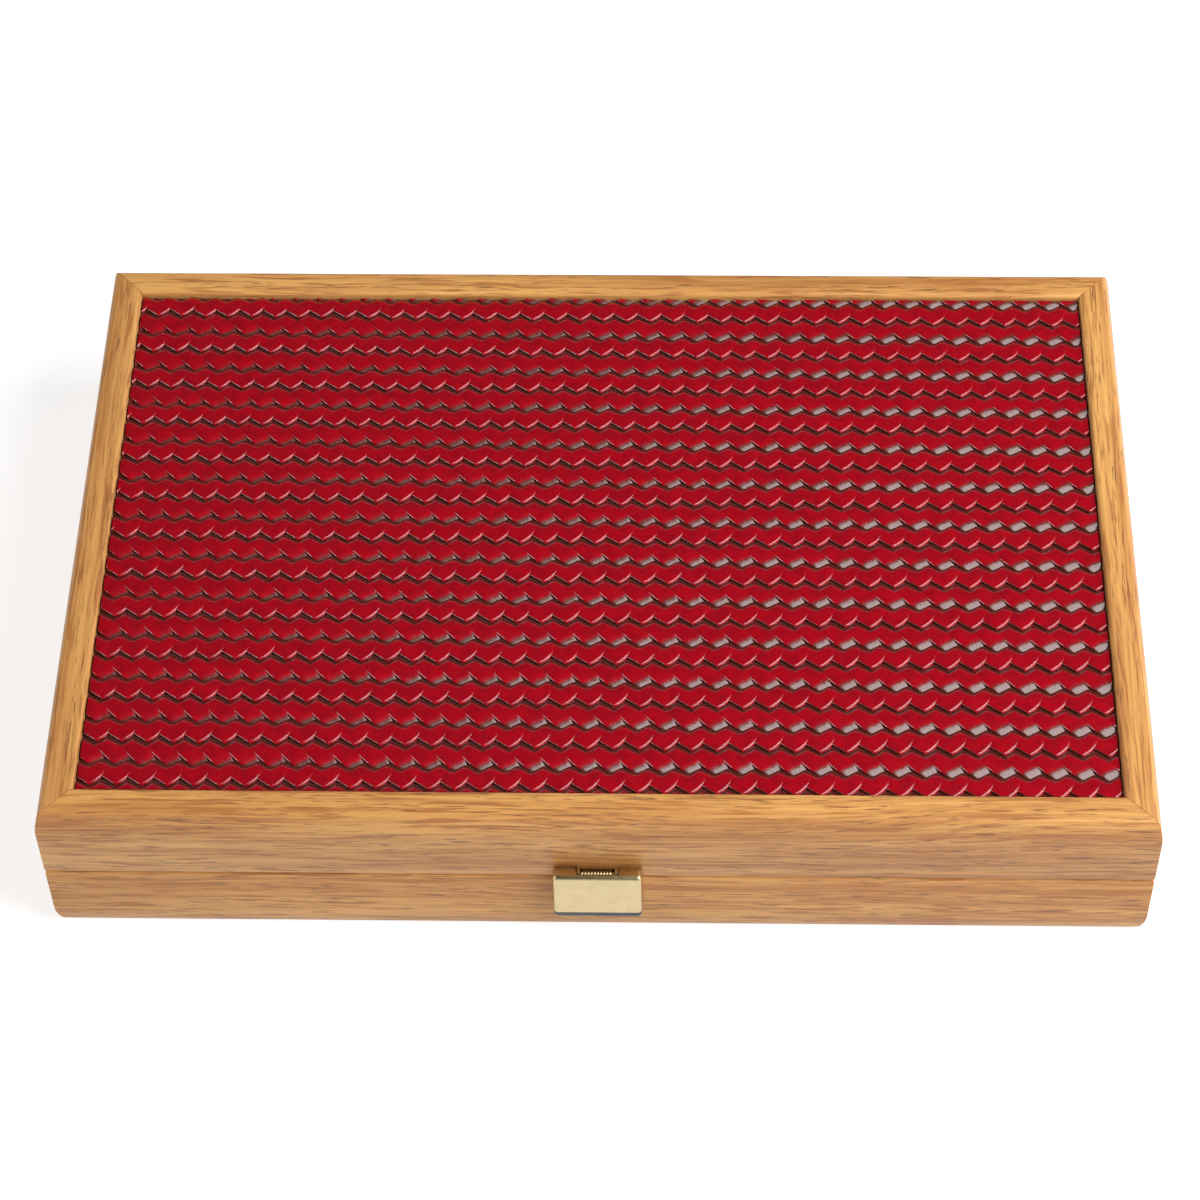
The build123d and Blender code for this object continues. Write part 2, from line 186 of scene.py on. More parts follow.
def wood_grain_group():
    """Streaky grain along X: growth bands, fine streaks and short dark pores."""
    name = "Wood grain"
    if name in bpy.data.node_groups:
        return bpy.data.node_groups[name]
    values = {
        "Pale": (0.7, 0.4, 0.17, 1),
        "Deep": (0.45, 0.22, 0.09, 1),
        "Pore": (0.16, 0.06, 0.03, 1),
        "Pore strength": 0.6,
    }
    group, given = new_group(name, values)
    place = given["Vector"]
    # the grain wanders a little as it runs
    sway = spread(group, noise(group, place, (9, 25, 25), 1.0), 0.3, 0.7, -0.0012, 0.0012)
    shift = add_node(group, "CombineXYZ", {"Y": sway, "Z": sway}).outputs[0]
    run = add_node(group, "VectorMath", {0: place, 1: shift}, operation="ADD").outputs[0]

    def streaks(along, across, start, detail, low, high):
        layer = noise(group, run, (along, across, across), detail, offset=(start, 0, 0))
        return layer, spread(group, layer, low, high)

    broad = streaks(5, 95, 0, 2.0, 0.3, 0.7)[1]
    band = streaks(11, 420, 3, 2.0, 0.3, 0.72)[1]
    fine_height, fine = streaks(30, 1500, 7, 2.0, 0.3, 0.75)
    line = streaks(60, 1050, 9, 1.0, 0.53, 0.7)[1]
    dash = streaks(150, 2300, 1, 1.0, 0.55, 0.7)[1]
    grouping = streaks(25, 330, 5, 1.0, 0.36, 0.6)[1]
    mix = weighed(group, (broad, 0.42), (band, 0.4), (fine, 0.3), (line, 0.6))
    wood = blend_colours(group, mix, given["Pale"], given["Deep"])
    pores = maths(group, "MULTIPLY", dash, grouping)
    dark = maths(group, "MULTIPLY", pores, given["Pore strength"])
    wood = blend_colours(group, dark, wood, given["Pore"])
    height = maths(group, "SUBTRACT", maths(group, "MULTIPLY", fine_height, 0.35), pores)
    return end_group(group, wood, spread(group, mix, 0.0, 1.0, 0.38, 0.5), height)


def brushed_group():
    """Fine brushing along X with sparse marks, for rolled and polished metal."""
    name = "Brushed metal"
    if name in bpy.data.node_groups:
        return bpy.data.node_groups[name]
    values = {
        "Clean": (0.8, 0.62, 0.3, 1),
        "Worn": (0.6, 0.42, 0.18, 1),
        "Low roughness": 0.18,
        "High roughness": 0.34,
    }
    group, given = new_group(name, values)
    lines = noise(group, given["Vector"], (250, 9000, 9000))
    cloud = noise(group, given["Vector"], 260, 3.0)
    specks = noise(group, given["Vector"], 2600)
    tint = spread(group, weighed(group, (cloud, 0.5), (lines, 0.3)), 0.3, 0.62)
    colour = blend_colours(group, tint, given["Clean"], given["Worn"])
    marks = maths(group, "MULTIPLY", maths(group, "ADD", lines, specks), 0.5)
    low, high = given["Low roughness"], given["High roughness"]
    rough = spread(group, marks, 0.35, 0.65, low, high, "LINEAR")
    height = maths(group, "ADD", lines, maths(group, "MULTIPLY", specks, 0.4))
    return end_group(group, colour, rough, height)


def pebble_group():
    """Leather grain: small pebbles with soft cloudy colour."""
    name = "Leather grain"
    if name in bpy.data.node_groups:
        return bpy.data.node_groups[name]
    group, given = new_group(name, {"Face": (0.4, 0.0, 0.01, 1), "Shade": (0.25, 0.0, 0.01, 1)})
    cloud = noise(group, given["Vector"], 260, 3.0, 0.6)
    mottle = noise(group, given["Vector"], 1300, 3.0)
    sockets = {"Vector": scaled(group, given["Vector"], 2600), "Scale": 1.0}
    cells = add_node(group, "TexVoronoi", sockets, feature="SMOOTH_F1")
    tint = spread(group, weighed(group, (cloud, 0.65), (mottle, 0.35)), 0.36, 0.66)
    colour = blend_colours(group, tint, given["Face"], given["Shade"])
    rough = spread(group, mottle, 0.3, 0.7, 0.2, 0.3)
    return end_group(group, colour, rough, cells.outputs["Distance"])


def new_material(name):
    """A node material; returns it, its tree, its surface shader and the object's coordinates."""
    material = bpy.data.materials.new(name)
    material.use_nodes = True
    tree = material.node_tree
    tree.nodes.clear()
    shader = add_node(tree, "BsdfPrincipled")
    add_node(tree, "OutputMaterial", {"Surface": shader.outputs["BSDF"]})
    return material, tree, shader, add_node(tree, "TexCoord").outputs["Object"]


def finish_with(tree, shader, group, values, bump, distance, **looks):
    """Places a shared group in a material, feeds the shader from it and sets its other looks."""
    made = add_node(tree, "Group", values, node_tree=group)
    for key, socket in (("Color", "Base Color"), ("Roughness", "Roughness")):
        tree.links.new(made.outputs[key], shader.inputs[socket])
    sockets = {"Height": made.outputs["Height"], "Strength": bump, "Distance": distance}
    bumped = add_node(tree, "Bump", sockets)
    tree.links.new(bumped.outputs["Normal"], shader.inputs["Normal"])
    for key, value in looks.items():
        shader.inputs[key.replace("_", " ").title()].default_value = value
    return made


def wood_material(name, pale, deep, pore, along="X", strength=0.72, gloss=0.12):
    """Wood with its grain along X or Y."""
    if name in bpy.data.materials:
        return bpy.data.materials[name]
    material, tree, shader, place = new_material(name)
    if along == "Y":
        parts = add_node(tree, "SeparateXYZ", {0: place}).outputs
        sockets = {"X": parts["Y"], "Y": parts["X"], "Z": parts["Z"]}
        place = add_node(tree, "CombineXYZ", sockets).outputs[0]
    values = {"Vector": place, "Pale": pale, "Deep": deep, "Pore": pore, "Pore strength": strength}
    grain = wood_grain_group()
    finish_with(tree, shader, grain, values, 0.25, 0.0002, coat_weight=gloss, coat_roughness=0.3)
    return material


def metal_material(name, clean, worn, low, high):
    """Metal between two colours and between two roughnesses."""
    if name in bpy.data.materials:
        return bpy.data.materials[name]
    material, tree, shader, place = new_material(name)
    values = {"Vector": place, "Clean": clean, "Worn": worn}
    values |= {"Low roughness": low, "High roughness": high}
    finish_with(tree, shader, brushed_group(), values, 0.12, 0.00002, metallic=1.0)
    return material


def leather_material(name, face, shade, bump, gloss=0.0, antique_and_shade=None):
    """Leatherette. With a colour for antique brown and painted shade, it is darkened where the
    mesh's tone falls to nothing.
    """
    if name in bpy.data.materials:
        return bpy.data.materials[name]
    material, tree, shader, place = new_material(name)
    values = {"Vector": place, "Face": face, "Shade": shade}
    grain = finish_with(
        tree, shader, pebble_group(), values, bump, 0.00006, coat_weight=gloss, coat_roughness=0.12
    )
    if antique_and_shade is not None:
        tone = add_node(tree, "Attribute", attribute_name="tone").outputs["Fac"]
        cloud = spread(tree, noise(tree, place, 900), 0.3, 0.7, -0.12, 0.12)
        # painted shade, with antique brown, where the tone is low, broken up by a cloud
        raised = spread(tree, maths(tree, "ADD", tone, cloud), 0.12, 0.88)
        colour = blend_colours(tree, raised, antique_and_shade, grain.outputs["Color"])
        tree.links.new(colour, shader.inputs["Base Color"])
    return material


def brass(low, high):
    colours = bpy.context.scene.case_colours
    name = f"brass_{round(100 * low)}"
    return metal_material(name, colours.brass_clean, colours.brass_worn, low, high)


# Meshes


def new_object(name, data):
    made = bpy.data.objects.new(name, data)
    bpy.context.scene.collection.objects.link(made)
    return made


def new_piece(name, mesh, body, slot, *materials, smooth_angle):
    """A mesh as a piece of the case, on its body and with its materials; slot is not used."""
    piece = new_object(name, mesh)
    for material in materials:
        mesh.materials.append(material)
    mesh.shade_smooth()
    mesh.set_sharp_from_angle(angle=math.radians(smooth_angle))
    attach(piece, body)
    return piece


def mesh_from(name, points, faces):
    """A mesh from points in millimetres."""
    mesh = bpy.data.meshes.new(name)
    mesh.from_pydata([tuple(c * MM for c in p) for p in points], [], faces)
    return mesh


def mesh_from_bmesh(name, shape):
    """A shape in millimetres as a mesh."""
    mesh = bpy.data.meshes.new(name)
    bmesh.ops.scale(shape, vec=(MM, MM, MM), verts=shape.verts)
    shape.to_mesh(mesh)
    shape.free()
    return mesh


@contextmanager
def editing(mesh):
    """A mesh opened as a shape, and written back with its changes."""
    shape = bmesh.new()
    shape.from_mesh(mesh)
    yield shape
    shape.to_mesh(mesh)
    shape.free()


def everything(shape):
    return shape.verts[:] + shape.edges[:] + shape.faces[:]


def block(low, high, bevel=0.0):
    """A box between two corners, with rounded edges."""
    shape = bmesh.new()
    centre = [(a + b) / 2 for a, b in zip(low, high)]
    size = [b - a for a, b in zip(low, high)]
    place = Matrix.Translation(centre) @ Matrix.Diagonal((*size, 1))
    bmesh.ops.create_cube(shape, size=1.0, matrix=place)
    if bevel:
        bmesh.ops.bevel(
            shape, geom=shape.edges[:], offset=bevel, segments=5, profile=0.5, affect="EDGES",
            clamp_overlap=True,
        )
    return shape


def turned(profile, steps, place):
    """A solid of revolution about Z from (radius, height) points, closed where the radius is 0."""
    shape = bmesh.new()
    angles = [2 * math.pi * k / steps for k in range(steps)]
    rings = []
    for radius, height in profile:
        spots = [(0, 0, height)]
        if radius:
            spots = [(radius * math.cos(a), radius * math.sin(a), height) for a in angles]
        rings.append([shape.verts.new(place @ Vector(spot)) for spot in spots])
    for lower, upper in zip(rings, rings[1:]):
        for k in range(steps):
            after = (k + 1) % steps
            sides = [lower[k % len(lower)], lower[after % len(lower)]]
            sides += [upper[after % len(upper)], upper[k % len(upper)]]
            shape.faces.new(list(dict.fromkeys(sides)))
    bmesh.ops.recalc_face_normals(shape, faces=shape.faces)
    return shape


def on_axis(x, y, z):
    """A place whose Z runs along the case."""
    return Matrix.Translation((x, y, z)) @ Matrix.Rotation(QUARTER, 4, "Y")


def merged(name, meshes):
    """Several meshes as one, which takes their place."""
    whole = bmesh.new()
    for mesh in meshes:
        whole.from_mesh(mesh)
        bpy.data.meshes.remove(mesh)
    result = bpy.data.meshes.new(name)
    whole.to_mesh(result)
    whole.free()
    return result


def joined(name, shapes):
    """Several shapes in millimetres as one mesh."""
    return merged(name, [mesh_from_bmesh("part", shape) for shape in shapes])


def ease_edges(piece, width, angle):
    """Small bevels along the edges that turn by more than an angle."""
    bevel = piece.modifiers.new("ease", "BEVEL")
    bevel.width = width * MM
    bevel.segments = 2
    bevel.limit_method = "ANGLE"
    bevel.angle_limit = math.radians(angle)


def with_modifiers(mesh, add_modifiers, *others):
    """The mesh that modifiers make of a mesh, in its place; the other meshes serve as tools."""
    used = [new_object("part", data) for data in (mesh, *others)]
    add_modifiers(*used)
    bpy.context.view_layer.update()
    graph = bpy.context.evaluated_depsgraph_get()
    result = bpy.data.meshes.new_from_object(used[0].evaluated_get(graph))
    for piece in used:
        data = piece.data
        bpy.data.objects.remove(piece)
        bpy.data.meshes.remove(data)
    return result


def cut_by(mesh, cutters, bevel=0.0):
    """A mesh after cutting away each cutter mesh, and with eased edges."""

    def add_cuts(piece, *tools):
        for tool in tools:
            cut = piece.modifiers.new("cut", "BOOLEAN")
            cut.operation = "DIFFERENCE"
            cut.solver = "EXACT"
            cut.object = tool
        if bevel:
            ease_edges(piece, bevel, 35)

    return with_modifiers(mesh, add_cuts, *cutters)


def finish_node(name, material, ease=0.0):
    """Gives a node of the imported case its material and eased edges."""
    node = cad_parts[name]
    node.data.materials.clear()
    node.data.materials.append(material)
    if ease:
        ease_edges(node, ease, 40)


# Properties


def colour(name, description, default):
    return FloatVectorProperty(
        name=name, description=description, default=default, subtype="COLOR", size=3, min=0, max=1
    )


def measure(name, description, default, low, high):
    return FloatProperty(name=name, description=description, default=default, min=low, max=high)


class CaseColours(bpy.types.PropertyGroup):
    """Colours of the case's materials."""

    rail_pale: colour("Rail, pale grain", "Pale bands of the rails' wood", (0.96, 0.515, 0.155))
    rail_deep: colour("Rail, deep grain", "Deeper bands of the rails' wood", (0.51, 0.2, 0.053))
    rail_pore: colour("Rail, pores", "Short dark pores in the rails' wood", (0.19, 0.068, 0.034))
    braid_face: colour("Braid, face", "Face of the braided leatherette", (0.43, 0.0, 0.008))
    braid_shade: colour("Braid, shade", "Darker clouds in the leatherette", (0.31, 0.0, 0.008))
    # antique brown low in the braid, also painted shade where the strips tuck under and dip
    braid_antique_and_shade: colour("Braid, recess", "Antique brown low in the braid", (0.12, 0.022, 0.016))
    # cut edges and ground of the braid, kept nearly black as painted shade in the gaps
    braid_edge_and_shade: colour("Braid, cut edge", "Cut edges and ground of the braid", (0.07, 0.006, 0.006))
    brass_clean: colour("Brass, clean", "Bright brass of the clasp and hinges", (0.65, 0.53, 0.3))
    brass_worn: colour("Brass, worn", "Dulled brass of the clasp and hinges", (0.58, 0.46, 0.245))


class BraidShape(bpy.types.PropertyGroup):
    """Size of the braid's strips."""

    across: measure("Column pitch", "From strip to strip along a row, in mm", 7.0, 3.0, 20.0)
    down: measure("Row pair pitch", "From a pair of rows to the next, in mm", 14.15, 6.0, 40.0)
    turn: measure("Turn", "How far the sheet is laid out of square, in degrees", -0.57, -5.0, 5.0)
    relief: measure("Relief", "Height of the strips over their ground, in mm", 1.2, 0.2, 2.0)


class RailShape(bpy.types.PropertyGroup):
    """Section of the moulded rails."""

    arris_across: measure("Arris across", "Width of the outer arris, in mm", 3.0, 0.5, 6.0)
    arris_down: measure("Arris down", "Height of the outer arris, in mm", 8.5, 1.0, 15.0)
    arris_top_round: measure("Arris round", "Radius at the top of the arris, in mm", 1.8, 0.3, 3.0)
    inner_round: measure("Inner round", "Radius of the edge beside the braid, in mm", 1.2, 0.2, 3.0)


# Rails


def arc(centre, radius, start, end, steps, first=0):
    """Points round a centre, at equal turns from the first step to the last."""
    for step in range(first, steps + 1):
        angle = start + (end - start) * step / steps
        yield centre[0] - radius * math.cos(angle), centre[1] - radius * math.sin(angle)


def rail_section(shape):
    """The rail's outline as (inwards, down) points, from the outer arris round and back."""
    small = shape.arris_top_round
    rise = shape.arris_down - small
    run = shape.arris_across - small
    large = small + (rise**2 + run**2) / (2 * run)
    turn = math.asin(rise / (large - small))
    inner = shape.inner_round
    return [
        *arc((large, shape.arris_down), large, 0, turn, 8),
        *arc((shape.arris_across, small), small, turn, QUARTER, 7, first=1),
        *arc((RAIL_WIDTH - inner, inner), inner, QUARTER, 2 * QUARTER, 6),
        (RAIL_WIDTH, GROOVE_TOP),
        (RAIL_WIDTH - GROOVE_DEPTH, GROOVE_TOP),
        (RAIL_WIDTH - GROOVE_DEPTH, GROOVE_FOOT),
        (RAIL_WIDTH, GROOVE_FOOT),
        (RAIL_WIDTH, HALF_HEIGHT - 0.5),
        (RAIL_WIDTH - 0.15, HALF_HEIGHT - 0.15),
        (RAIL_WIDTH - 0.5, HALF_HEIGHT),
        (1.0, HALF_HEIGHT),
        (0.55, HALF_HEIGHT - 0.12),
        (0.2, HALF_HEIGHT - 0.42),
        (0.0, HALF_HEIGHT - 1.0),
    ]


def rail_mesh(section, half, outward, run):
    """A mitred rail. outward is the side it closes, as a plan direction."""
    outward = Vector((*outward, 0))
    along = Vector((-outward.y, outward.x, 0))
    reach = CASE_DEPTH / 2 if outward.y else CASE_LENGTH / 2
    # near each mitre the section shrinks by the width of the eased edge
    stations = (
        (-1, MITRE_GAP, MITRE_EASE), (-1, MITRE_EASE, 0.0),
        (1, MITRE_EASE, 0.0), (1, MITRE_GAP, MITRE_EASE),
    )
    points = []
    for end, back, shrink in stations:
        for inwards, down in section:
            inside, lower = inwards, down
            if inwards < 0.8 or inwards > RAIL_WIDTH - 0.8:
                inside += shrink if inwards < RAIL_WIDTH / 2 else -shrink
            if down < 1.4 or down > HALF_HEIGHT - 0.6:
                lower += shrink if down < HALF_HEIGHT / 2 else -shrink
            place = outward * (reach - inside) + along * end * (run / 2 - inwards - back)
            height = PARTING_HEIGHT + half * (PARTING_HEIGHT - lower)
            points.append((place.x, place.y, height))
    count = len(section)
    faces = []
    for first in (0, count, 2 * count):
        for k in range(count):
            after = (k + 1) % count
            faces.append((first + k, first + after, first + count + after, first + count + k))
    faces += [tuple(range(count)), tuple(range(3 * count, 4 * count))]
    mesh = mesh_from("rail", points, faces)
    with editing(mesh) as shape:
        bmesh.ops.recalc_face_normals(shape, faces=shape.faces)
    return mesh


def seat_cutters(side, half):
    """What is cut from a rail for the hinges or the clasp's foot, as meshes."""
    shapes = []
    if side == "rear":
        levels = (PARTING_HEIGHT - half, PARTING_HEIGHT + half * (LEAF_GAP + LEAF_SHEET))
        for x in HINGE_PLACES:
            wide = HINGE_LENGTH / 2 + 0.1
            low = (x - wide, HINGE_AXIS_Y - 8.5, min(levels))
            high = (x + wide, HINGE_AXIS_Y + 6, max(levels))
            long = HINGE_LENGTH / 2 + 0.7
            barrel = [(0, -long), (2.3, -long), (2.3, long), (0, long)]
            shapes.append(block(low, high))
            shapes.append(turned(barrel, 48, on_axis(x, HINGE_AXIS_Y, PARTING_HEIGHT)))
    elif side == "front" and half > 0:
        low = (-10.1, FRONT_FACE - 1, PARTING_HEIGHT - 1)
        high = (10.1, FRONT_FACE + 7.1, PARTING_HEIGHT + LEAF_GAP + CLASP_SHEET)
        shapes.append(block(low, high))
    return [mesh_from_bmesh("seat", shape) for shape in shapes]


class CASE_OT_rails(bpy.types.Operator):
    """Build the moulded and mitred rails of both halves"""

    bl_idname = "case.rails"
    bl_label = "Rails"

    def execute(self, context):
        colours = context.scene.case_colours
        section = rail_section(context.scene.case_rails)
        sides = {
            "front": ((0, -1), CASE_LENGTH, "X"),
            "rear": ((0, 1), CASE_LENGTH, "X"),
            "left": ((-1, 0), CASE_DEPTH, "Y"),
            "right": ((1, 0), CASE_DEPTH, "Y"),
        }
        for half_name, half in HALVES.items():
            for side, (outward, run, along) in sides.items():
                wood = wood_material(
                    f"rail_wood_{along.lower()}",
                    colours.rail_pale, colours.rail_deep, colours.rail_pore, along,
                )
                mesh = rail_mesh(section, half, outward, run)
                cutters = seat_cutters(side, half)
                if cutters:
                    mesh = cut_by(mesh, cutters)
                name = f"{half_name}_{side}_moulding"
                rail = new_piece(name, mesh, half_name, "rail_wood", wood, smooth_angle=28)
                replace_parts(rail, f"{half_name}_{side}_rail")
        return {"FINISHED"}


# Braid


def bowed(first, middle, last, t):
    """A point on a bowed line between two ends, drawn towards its middle corner."""
    near, across, far = (1 - t) ** 2, 2 * t * (1 - t), t * t
    return tuple(near * a + across * b + far * c for a, b, c in zip(first, middle, last))


def ease_between(low, high, value):
    t = min(max((value - low) / (high - low), 0.0), 1.0)
    return t * t * (3 - 2 * t)


def rounded_edge(distance, radius):
    """How far a rolled edge falls at a distance from its side, as a share of its radius."""
    if distance >= radius:
        return 0.0
    return 1 - math.sqrt(max(1 - (1 - distance / radius) ** 2, 0.0))


# Strips of the two kinds of row, in millimetres from their foremost corner. Each side is a
# bowed line from the tucked end to the free end. The row behind ends over a strip in a
# zigzag, given by a valley, its rise and the share of a step at which it peaks. The corner
# says where the strips of the first row start.
STRIPS = {
    "falling": {
        "corner": (3.4, 3.15),
        "sides": (((-6.4, 10.6), (-5.4, 2.6), (0.75, -0.5)), ((1.7, 10.6), (2.9, 4.4), (5.4, 2.2))),
        "zigzag": ((-5.8, 6.84), 2.4, 0.5),
        "across": (0.0, 0.03, 0.07, 0.2, 0.4, 0.6, 0.76, 0.84, 0.92, 1.0),
        "along": (0.25, 0.42, 0.56, 0.68, 0.78, 0.86, 0.93, 1.0),
    },
    "rising": {
        "corner": (4.6, 9.99),
        "sides": (((-2.0, 10.8), (-3.3, 5.4), (-4.7, 3.3)), ((6.4, 10.8), (5.2, 2.3), (0.0, 0.0))),
        "zigzag": ((-0.6, 6.9), 2.2, 0.45),
        "across": (0.0, 0.1, 0.2, 0.4, 0.6, 0.78, 0.855, 0.88, 0.91, 0.94, 0.97, 1.0),
        "along": (0.3, 0.55, 0.72, 0.84, 0.9, 0.94, 0.97, 1.0),
    },
}
TUCKED_STEPS = (-0.9, -0.1, 0.35, 0.8, 1.3, 1.8, 2.4)
STRIP_WIDTH = 5.2


def clear_of_row_behind(kind, place, step):
    """How far a place lies in front of the zigzag in which the row behind ends."""
    (x, y), rise, peak = STRIPS[kind]["zigzag"]
    phase = ((place[0] - x) / step) % 1.0
    share = phase / peak if phase < peak else (1 - phase) / (1 - peak)
    return y + rise * share - place[1]


def from_free_end(kind, place):
    """How far a place lies behind the straight line of the strip's free end."""
    first, second = (Vector(side[2]) for side in STRIPS[kind]["sides"])
    along = (second - first).normalized()
    return (Vector(place) - first).dot(Vector((-along.y, along.x)))


def falling_height(u, clear, end):
    """Strip that dips at its free end; u runs from its front side to its rear side."""
    rise = 0.1 + 0.9 * ease_between(-0.2, 2.4, clear)
    dip = 0.82 * max(1 - end / 2.6, 0.0) ** 1.5
    front = ease_between(2.5, 5.0, clear)
    lean = 0.03 * ease_between(0.8, 0.95, u) + 0.28 * ease_between(0.78, 0.94, u) * front
    edge = 0.3 * rounded_edge(u * STRIP_WIDTH, 0.4) * front
    return max(rise - dip, 0.05) - lean - edge


def rising_height(u, clear, end):
    """Strip that stands highest at its front side; u runs from its rear side to its front side."""
    rise = 0.1 + 0.9 * ease_between(-0.2, 2.4, clear)
    front = ease_between(2.5, 5.0, clear)
    lean = (0.03 + 0.22 * front) * (1 - ease_between(0.04, 0.22, u))
    side = 0.62 * rounded_edge((1 - u) * STRIP_WIDTH, 0.75) * ease_between(1.2, 3.8, clear)
    drop = 0.1 * max(1 - end / 2.0, 0.0) ** 2 + 0.3 * rounded_edge(end, 0.4)
    return rise - lean - side - drop


def strip_pattern(kind, step):
    """One kind of strip: rows of (x, y, height share, tone, distance from the free end)."""
    shape = STRIPS[kind]
    height = falling_height if kind == "falling" else rising_height
    columns = []
    for u in shape["across"]:

        def place_at(t):
            first, second = (bowed(*side, t) for side in shape["sides"])
            return tuple(a + (b - a) * u for a, b in zip(first, second))

        stops = []
        for wanted in TUCKED_STEPS:
            # halve the range until the place lies as far from the row behind as wanted
            low, high = 0.0, 0.8
            for _ in range(20):
                middle = (low + high) / 2
                if clear_of_row_behind(kind, place_at(middle), step) < wanted:
                    low = middle
                else:
                    high = middle
            stops.append(low)
        stops += [stops[-1] + (1 - stops[-1]) * share for share in shape["along"]]
        column = []
        for place in map(place_at, stops):
            clear = clear_of_row_behind(kind, place, step)
            end = max(from_free_end(kind, place), 0.0)
            share = height(u, clear, end)
            # the tone falls to nothing where the strip tucks under the row behind and where it lies
            # low: painted shade with antique brown
            tone = ease_between(0.8, 2.1, clear) * ease_between(0.1, 0.35, share)
            # the rising strips' free edges also take the painted shade
            if kind == "rising":
                tone *= ease_between(0.0, 0.3, end)
            column.append((*place, share, tone, end))
        columns.append(column)
    return list(zip(*columns))


def strip_grids(shape, chance, length, depth):
    """Each strip that shows on the sheet, as rows of (point, tone)."""
    columns = int(INNER_LENGTH / shape.across / 2) + 3
    pairs = int(INNER_DEPTH / shape.down) + 3
    patterns = {kind: strip_pattern(kind, shape.across) for kind in STRIPS}
    turn = math.radians(shape.turn)
    for kind, pair in ((kind, pair) for pair in range(-pairs, pairs + 1) for kind in STRIPS):
        shift, start = STRIPS[kind]["corner"]
        for column in range(-columns, columns + 1):
            x = column * shape.across + shift + chance.uniform(-0.12, 0.12)
            y = start + pair * shape.down + chance.uniform(-0.12, 0.12)
            left = x * math.cos(turn) - y * math.sin(turn)
            fore = x * math.sin(turn) + y * math.cos(turn)
            sway_x, sway_y = chance.uniform(-0.12, 0.12), chance.uniform(-0.1, 0.1)
            lift = chance.uniform(-0.05, 0.04)
            if abs(left) > length + 9 or not -depth - 12 < fore < depth + 3:
                continue
            # the painted shade covers more of the falling strips' free ends towards the right,
            # where the light from the right turns them grey
            painted_shade_reach = 1.3 + 0.0062 * left + chance.uniform(-0.12, 0.12)
            soft = 0.35 + 0.0022 * (left + CASE_LENGTH / 2)
            grid = []
            for row in patterns[kind]:
                line = []
                for x, y, share, tone, end in row:
                    near = max(1 - end / 6, 0.0)
                    if kind == "falling":
                        tone *= ease_between(painted_shade_reach - soft, painted_shade_reach + soft, end)
                    up = shape.relief * max(share + lift * near, 0.04)
                    line.append(((left + x + sway_x * near, fore + y + sway_y * near, up), tone))
                grid.append(line)
            yield grid


def add_strip(grid, points, tones, faces, kinds):
    """Adds a strip's face, and its cut edge from the rim down to the ground, in the dark edge
    colour that also paints the shade there.
    """
    first, wide, rows = len(points), len(grid[0]), len(grid)
    for row in grid:
        points.extend(point for point, tone in row)
        tones.extend(tone for point, tone in row)
    for r in range(rows - 1):
        for c in range(wide - 1):
            a = first + r * wide + c
            faces.append((a, a + 1, a + wide + 1, a + wide))
            kinds.append(0)
    rim = [first + c for c in range(wide)]
    rim += [first + r * wide + wide - 1 for r in range(1, rows)]
    rim += [first + (rows - 1) * wide + c for c in range(wide - 2, -1, -1)]
    rim += [first + r * wide for r in range(rows - 2, 0, -1)]
    foot = len(points)
    points.extend([(points[k][0], points[k][1], 0.0) for k in rim])
    tones.extend([0.0] * len(rim))
    for k in range(len(rim)):
        after = (k + 1) % len(rim)
        faces.append((rim[k], foot + k, foot + after, rim[after]))
        kinds.append(1)


def braid_mesh(shape, half):
    """The braid of one half: two kinds of strips in turn, rolled over their neighbours."""
    points, tones, faces, kinds = [], [], [], []
    length = INNER_LENGTH / 2 - BRAID_EDGE_GAP - 0.1
    depth = INNER_DEPTH / 2 - BRAID_EDGE_GAP - 0.2
    for grid in strip_grids(shape, random.Random(SEED + half), length, depth):
        add_strip(grid, points, tones, faces, kinds)
    mesh = mesh_from("braid", points, faces)
    mesh.polygons.foreach_set("material_index", kinds)
    mesh.attributes.new("tone", "FLOAT", "POINT").data.foreach_set("value", tones)
    with editing(mesh) as solid:
        for axis, reach in ((0, length), (1, depth)):
            for side in (-1, 1):
                normal = Vector((0, 0, 0))
                normal[axis] = side
                bmesh.ops.bisect_plane(
                    solid, geom=everything(solid), plane_co=normal * reach * MM, plane_no=normal,
                    clear_outer=True,
                )
        # a dark ground sheet under the strips: backing colour that also paints the shade in the
        # gaps and beside the rails
        wide, deep = INNER_LENGTH / 2 - 0.1, INNER_DEPTH / 2 - 0.1
        corners = [solid.verts.new((x * wide * MM, y * deep * MM, 0)) for x, y in CORNERS]
        solid.faces.new(corners).material_index = 1
        # the falling strips' grids run the other way round, so each face is turned up
        for face in solid.faces:
            if face.material_index == 0 and face.normal.z < 0:
                face.normal_flip()
        ground = PARTING_HEIGHT + half * (PARTING_HEIGHT - BRAID_BACK_DEPTH + 0.02)
        for vertex in solid.verts:
            vertex.co.z = ground * MM + half * vertex.co.z
            if half < 0:
                vertex.co.y = -vertex.co.y
    return mesh


class CASE_OT_braid(bpy.types.Operator):
    """Build the braided leatherette sheets on the top and the underside"""

    bl_idname = "case.braid"
    bl_label = "Braid"

    def execute(self, context):
        colours = context.scene.case_colours
        face = leather_material(
            "braid_face", colours.braid_face, colours.braid_shade, 0.15, 0.3, colours.braid_antique_and_shade
        )
        edge = leather_material("braid_edge_and_shade", colours.braid_edge_and_shade, colours.braid_edge_and_shade, 0.3)
        for half_name, half in HALVES.items():
            mesh = braid_mesh(context.scene.case_braid, half)
            sheet = new_piece(
                f"{half_name}_braid", mesh, half_name, "braided_leatherette", face, edge,
                smooth_angle=50,
            )
            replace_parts(sheet, f"{half_name}_braided_inlay")
        return {"FINISHED"}


# Panels and playing field

